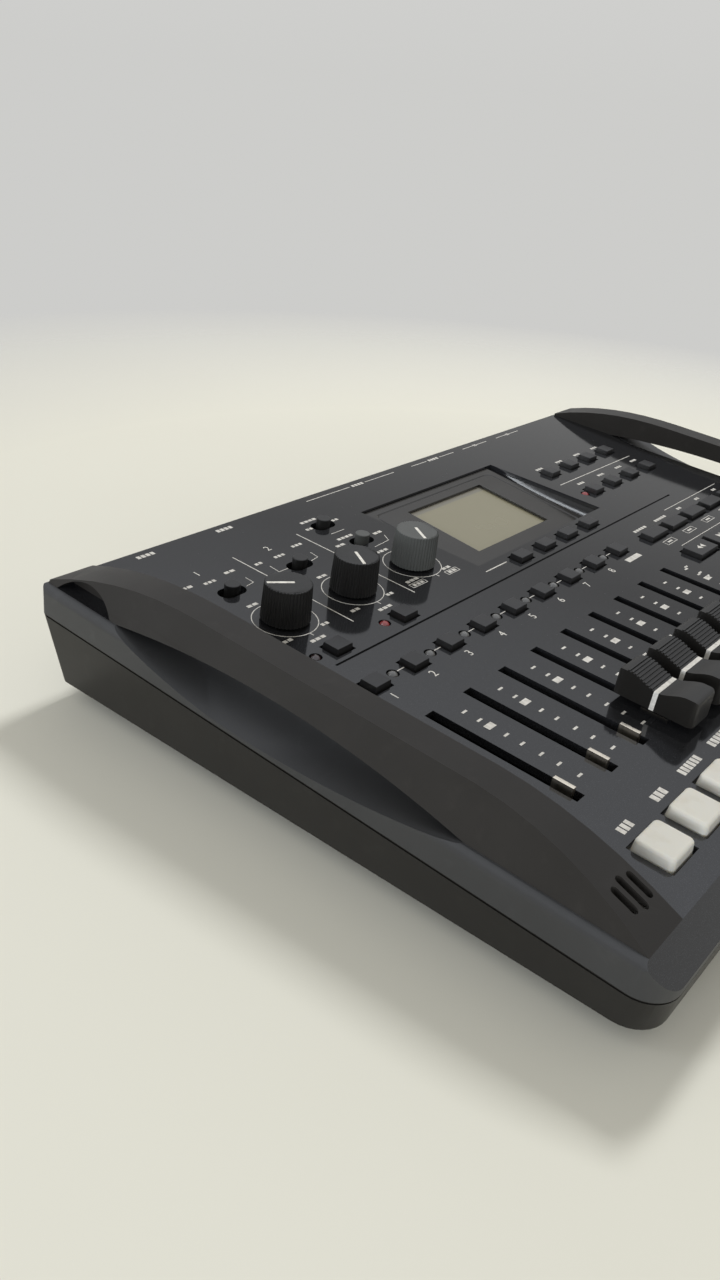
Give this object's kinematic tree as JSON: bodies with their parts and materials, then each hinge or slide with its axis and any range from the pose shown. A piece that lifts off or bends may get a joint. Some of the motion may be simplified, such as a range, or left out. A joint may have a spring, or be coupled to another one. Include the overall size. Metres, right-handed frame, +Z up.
{
  "type": "digital multitrack recorder",
  "caption": "Compact tabletop digital multitrack recorder: wedge case with arched carrying rails, slide faders, drum pads, knobs, keys, sunken display and rear sockets.",
  "frame": {"origin": "middle of the footprint, on the table under the feet", "axes": "+X to the recorder's right, +Y from its front edge to its back, +Z up"},
  "size_m": [0.273, 0.1788, 0.0402],
  "materials": {
    "panel_paint": "satin gunmetal lacquer on plastic",
    "case_plastic": "fine matt grain",
    "rail_plastic": "satin, warm dark grey",
    "window_plastic": "clear gloss",
    "lcd": "olive grey",
    "board": "solder mask",
    "plated_metal": "bright plating",
    "control_black": "satin",
    "control_grey": "satin",
    "key_plastic": "satin",
    "pad_rubber": "soft matt, warm white",
    "lamp_resin": "clear and red resin",
    "foot_rubber": "matt"
  },
  "bodies": {
    "base": {"upper_case": "panel_paint", "lower_case": "case_plastic", "left_rail": "rail_plastic", "right_rail": "rail_plastic", "display_window": "window_plastic", "display_module": "lcd", "main_board": "board", "panel_board": "board", "fader_bodies": "plated_metal", "pot_bodies": "plated_metal", "rear_jacks": "control_black", "indicator_lamps": "lamp_resin", "battery_contacts": "plated_metal", "feet": "foot_rubber", "case_screws": "plated_metal", "microphones": "control_grey"},
    "battery_door": {"battery_door": "case_plastic"},
    "input_knob_1": {"input_knob_1": "control_black"},
    "input_knob_2": {"input_knob_2": "control_black"},
    "master_knob": {"master_knob": "control_grey"},
    "phones_knob": {"phones_knob": "control_black"},
    "jog_dial": {"jog_dial": "control_black"},
    "power_switch": {"power_switch": "control_black"},
    "input_switch_1": {"input_switch_1": "control_black"},
    "input_switch_2": {"input_switch_2": "control_black"},
    "monitor_switch": {"monitor_switch": "control_grey"},
    "supply_switch": {"supply_switch": "control_black"},
    "fader_1": {"fader_1": "plated_metal"},
    "fader_2": {"fader_2": "plated_metal"},
    "fader_3": {"fader_3": "plated_metal"},
    "fader_4": {"fader_4": "control_black"},
    "fader_5": {"fader_5": "control_black"},
    "fader_6": {"fader_6": "control_black"},
    "fader_7": {"fader_7": "control_black"},
    "fader_8": {"fader_8": "control_black"},
    "master_fader": {"master_fader": "control_black"},
    "pad_1": {"pad_1": "pad_rubber"},
    "pad_2": {"pad_2": "pad_rubber"},
    "pad_3": {"pad_3": "pad_rubber"},
    "pad_4": {"pad_4": "pad_rubber"},
    "pad_5": {"pad_5": "pad_rubber"},
    "pad_6": {"pad_6": "pad_rubber"},
    "pad_7": {"pad_7": "pad_rubber"},
    "pad_8": {"pad_8": "pad_rubber"},
    "status_key_1": {"status_key_1": "key_plastic"},
    "status_key_2": {"status_key_2": "key_plastic"},
    "status_key_3": {"status_key_3": "key_plastic"},
    "status_key_4": {"status_key_4": "key_plastic"},
    "status_key_5": {"status_key_5": "key_plastic"},
    "status_key_6": {"status_key_6": "key_plastic"},
    "status_key_7": {"status_key_7": "key_plastic"},
    "status_key_8": {"status_key_8": "key_plastic"},
    "status_key_9": {"status_key_9": "key_plastic"},
    "input_key_1": {"input_key_1": "key_plastic"},
    "input_key_2": {"input_key_2": "key_plastic"},
    "soft_keys": {"soft_keys": "key_plastic"},
    "function_keys": {"function_keys": "key_plastic"},
    "edit_keys": {"edit_keys": "key_plastic"},
    "transport_keys": {"transport_keys": "key_plastic"},
    "cursor_keys": {"cursor_keys": "key_plastic"}
  },
  "joints": [
    {"name": "input_knob_1_turn", "type": "hinge", "parent": "base", "child": "input_knob_1", "pos_m": [-0.0992, 0.03735, 0.02908], "axis": [0, -0.0558, 0.9984], "range_deg": [-203.6, 96.4]},
    {"name": "input_knob_2_turn", "type": "hinge", "parent": "base", "child": "input_knob_2", "pos_m": [-0.07235, 0.03735, 0.02908], "axis": [0, -0.0558, 0.9984], "range_deg": [-300, 0]},
    {"name": "master_knob_turn", "type": "hinge", "parent": "base", "child": "master_knob", "pos_m": [-0.0455, 0.03735, 0.02908], "axis": [0, -0.0558, 0.9984], "range_deg": [-300, 0]},
    {"name": "phones_knob_turn", "type": "hinge", "parent": "base", "child": "phones_knob", "pos_m": [0.0195, 0.08581, 0.01676], "axis": [0, 0.9984, 0.0558], "range_deg": [-150, 150]},
    {"name": "jog_dial_turn", "type": "hinge", "parent": "base", "child": "jog_dial", "pos_m": [0.0795, -0.05381, 0.02398], "axis": [0, -0.0558, 0.9984], "continuous": true},
    {"name": "power_switch_slide", "type": "slide", "parent": "base", "child": "power_switch", "axis": [1, 0, 0], "range_m": [0, 0.0024]},
    {"name": "input_switch_1_slide", "type": "slide", "parent": "base", "child": "input_switch_1", "axis": [1, 0, 0], "range_m": [-0.0018, 0.0018]},
    {"name": "input_switch_2_slide", "type": "slide", "parent": "base", "child": "input_switch_2", "axis": [1, 0, 0], "range_m": [-0.0018, 0.0018]},
    {"name": "monitor_switch_slide", "type": "slide", "parent": "base", "child": "monitor_switch", "axis": [1, 0, 0], "range_m": [-0.0018, 0.0018]},
    {"name": "supply_switch_slide", "type": "slide", "parent": "base", "child": "supply_switch", "axis": [1, 0, 0], "range_m": [-0.0018, 0.0018]},
    {"name": "fader_1_slide", "type": "slide", "parent": "base", "child": "fader_1", "axis": [0, 0.9984, 0.0558], "range_m": [0, 0.0317]},
    {"name": "fader_2_slide", "type": "slide", "parent": "base", "child": "fader_2", "axis": [0, 0.9984, 0.0558], "range_m": [0, 0.0317]},
    {"name": "fader_3_slide", "type": "slide", "parent": "base", "child": "fader_3", "axis": [0, 0.9984, 0.0558], "range_m": [0, 0.0317]},
    {"name": "fader_4_slide", "type": "slide", "parent": "base", "child": "fader_4", "axis": [0, 0.9984, 0.0558], "range_m": [0, 0.0317]},
    {"name": "fader_5_slide", "type": "slide", "parent": "base", "child": "fader_5", "axis": [0, 0.9984, 0.0558], "range_m": [0, 0.0317]},
    {"name": "fader_6_slide", "type": "slide", "parent": "base", "child": "fader_6", "axis": [0, 0.9984, 0.0558], "range_m": [0, 0.0317]},
    {"name": "fader_7_slide", "type": "slide", "parent": "base", "child": "fader_7", "axis": [0, 0.9984, 0.0558], "range_m": [0, 0.0317]},
    {"name": "fader_8_slide", "type": "slide", "parent": "base", "child": "fader_8", "axis": [0, 0.9984, 0.0558], "range_m": [0, 0.0317]},
    {"name": "master_fader_slide", "type": "slide", "parent": "base", "child": "master_fader", "axis": [0, 0.9984, 0.0558], "range_m": [0, 0.0317]},
    {"name": "pad_1_slide", "type": "slide", "parent": "base", "child": "pad_1", "axis": [0, 0.0558, -0.9984], "range_m": [0, 0.0008], "stiffness_N_per_m": 600},
    {"name": "pad_2_slide", "type": "slide", "parent": "base", "child": "pad_2", "axis": [0, 0.0558, -0.9984], "range_m": [0, 0.0008], "stiffness_N_per_m": 600},
    {"name": "pad_3_slide", "type": "slide", "parent": "base", "child": "pad_3", "axis": [0, 0.0558, -0.9984], "range_m": [0, 0.0008], "stiffness_N_per_m": 600},
    {"name": "pad_4_slide", "type": "slide", "parent": "base", "child": "pad_4", "axis": [0, 0.0558, -0.9984], "range_m": [0, 0.0008], "stiffness_N_per_m": 600},
    {"name": "pad_5_slide", "type": "slide", "parent": "base", "child": "pad_5", "axis": [0, 0.0558, -0.9984], "range_m": [0, 0.0008], "stiffness_N_per_m": 600},
    {"name": "pad_6_slide", "type": "slide", "parent": "base", "child": "pad_6", "axis": [0, 0.0558, -0.9984], "range_m": [0, 0.0008], "stiffness_N_per_m": 600},
    {"name": "pad_7_slide", "type": "slide", "parent": "base", "child": "pad_7", "axis": [0, 0.0558, -0.9984], "range_m": [0, 0.0008], "stiffness_N_per_m": 600},
    {"name": "pad_8_slide", "type": "slide", "parent": "base", "child": "pad_8", "axis": [0, 0.0558, -0.9984], "range_m": [0, 0.0008], "stiffness_N_per_m": 600},
    {"name": "status_key_1_slide", "type": "slide", "parent": "base", "child": "status_key_1", "axis": [0, 0.0558, -0.9984], "range_m": [0, 0.0007], "stiffness_N_per_m": 500},
    {"name": "status_key_2_slide", "type": "slide", "parent": "base", "child": "status_key_2", "axis": [0, 0.0558, -0.9984], "range_m": [0, 0.0007], "stiffness_N_per_m": 500},
    {"name": "status_key_3_slide", "type": "slide", "parent": "base", "child": "status_key_3", "axis": [0, 0.0558, -0.9984], "range_m": [0, 0.0007], "stiffness_N_per_m": 500},
    {"name": "status_key_4_slide", "type": "slide", "parent": "base", "child": "status_key_4", "axis": [0, 0.0558, -0.9984], "range_m": [0, 0.0007], "stiffness_N_per_m": 500},
    {"name": "status_key_5_slide", "type": "slide", "parent": "base", "child": "status_key_5", "axis": [0, 0.0558, -0.9984], "range_m": [0, 0.0007], "stiffness_N_per_m": 500},
    {"name": "status_key_6_slide", "type": "slide", "parent": "base", "child": "status_key_6", "axis": [0, 0.0558, -0.9984], "range_m": [0, 0.0007], "stiffness_N_per_m": 500},
    {"name": "status_key_7_slide", "type": "slide", "parent": "base", "child": "status_key_7", "axis": [0, 0.0558, -0.9984], "range_m": [0, 0.0007], "stiffness_N_per_m": 500},
    {"name": "status_key_8_slide", "type": "slide", "parent": "base", "child": "status_key_8", "axis": [0, 0.0558, -0.9984], "range_m": [0, 0.0007], "stiffness_N_per_m": 500},
    {"name": "status_key_9_slide", "type": "slide", "parent": "base", "child": "status_key_9", "axis": [0, 0.0558, -0.9984], "range_m": [0, 0.0007], "stiffness_N_per_m": 500},
    {"name": "input_key_1_slide", "type": "slide", "parent": "base", "child": "input_key_1", "axis": [0, 0.0558, -0.9984], "range_m": [0, 0.0007], "stiffness_N_per_m": 500},
    {"name": "input_key_2_slide", "type": "slide", "parent": "base", "child": "input_key_2", "axis": [0, 0.0558, -0.9984], "range_m": [0, 0.0007], "stiffness_N_per_m": 500},
    {"name": "soft_keys_slide", "type": "slide", "parent": "base", "child": "soft_keys", "axis": [0, 0.0558, -0.9984], "range_m": [0, 0.0007], "stiffness_N_per_m": 500},
    {"name": "function_keys_slide", "type": "slide", "parent": "base", "child": "function_keys", "axis": [0, 0.0558, -0.9984], "range_m": [0, 0.0007], "stiffness_N_per_m": 500},
    {"name": "edit_keys_slide", "type": "slide", "parent": "base", "child": "edit_keys", "axis": [0, 0.0558, -0.9984], "range_m": [0, 0.0007], "stiffness_N_per_m": 500},
    {"name": "transport_keys_slide", "type": "slide", "parent": "base", "child": "transport_keys", "axis": [0, 0.0558, -0.9984], "range_m": [0, 0.0007], "stiffness_N_per_m": 500},
    {"name": "cursor_keys_slide", "type": "slide", "parent": "base", "child": "cursor_keys", "axis": [0, 0.0558, -0.9984], "range_m": [0, 0.0007], "stiffness_N_per_m": 500},
    {"name": "battery_door_slide", "type": "slide", "parent": "base", "child": "battery_door", "axis": [0, 0, -1], "range_m": [0, 0.03]}
  ]
}
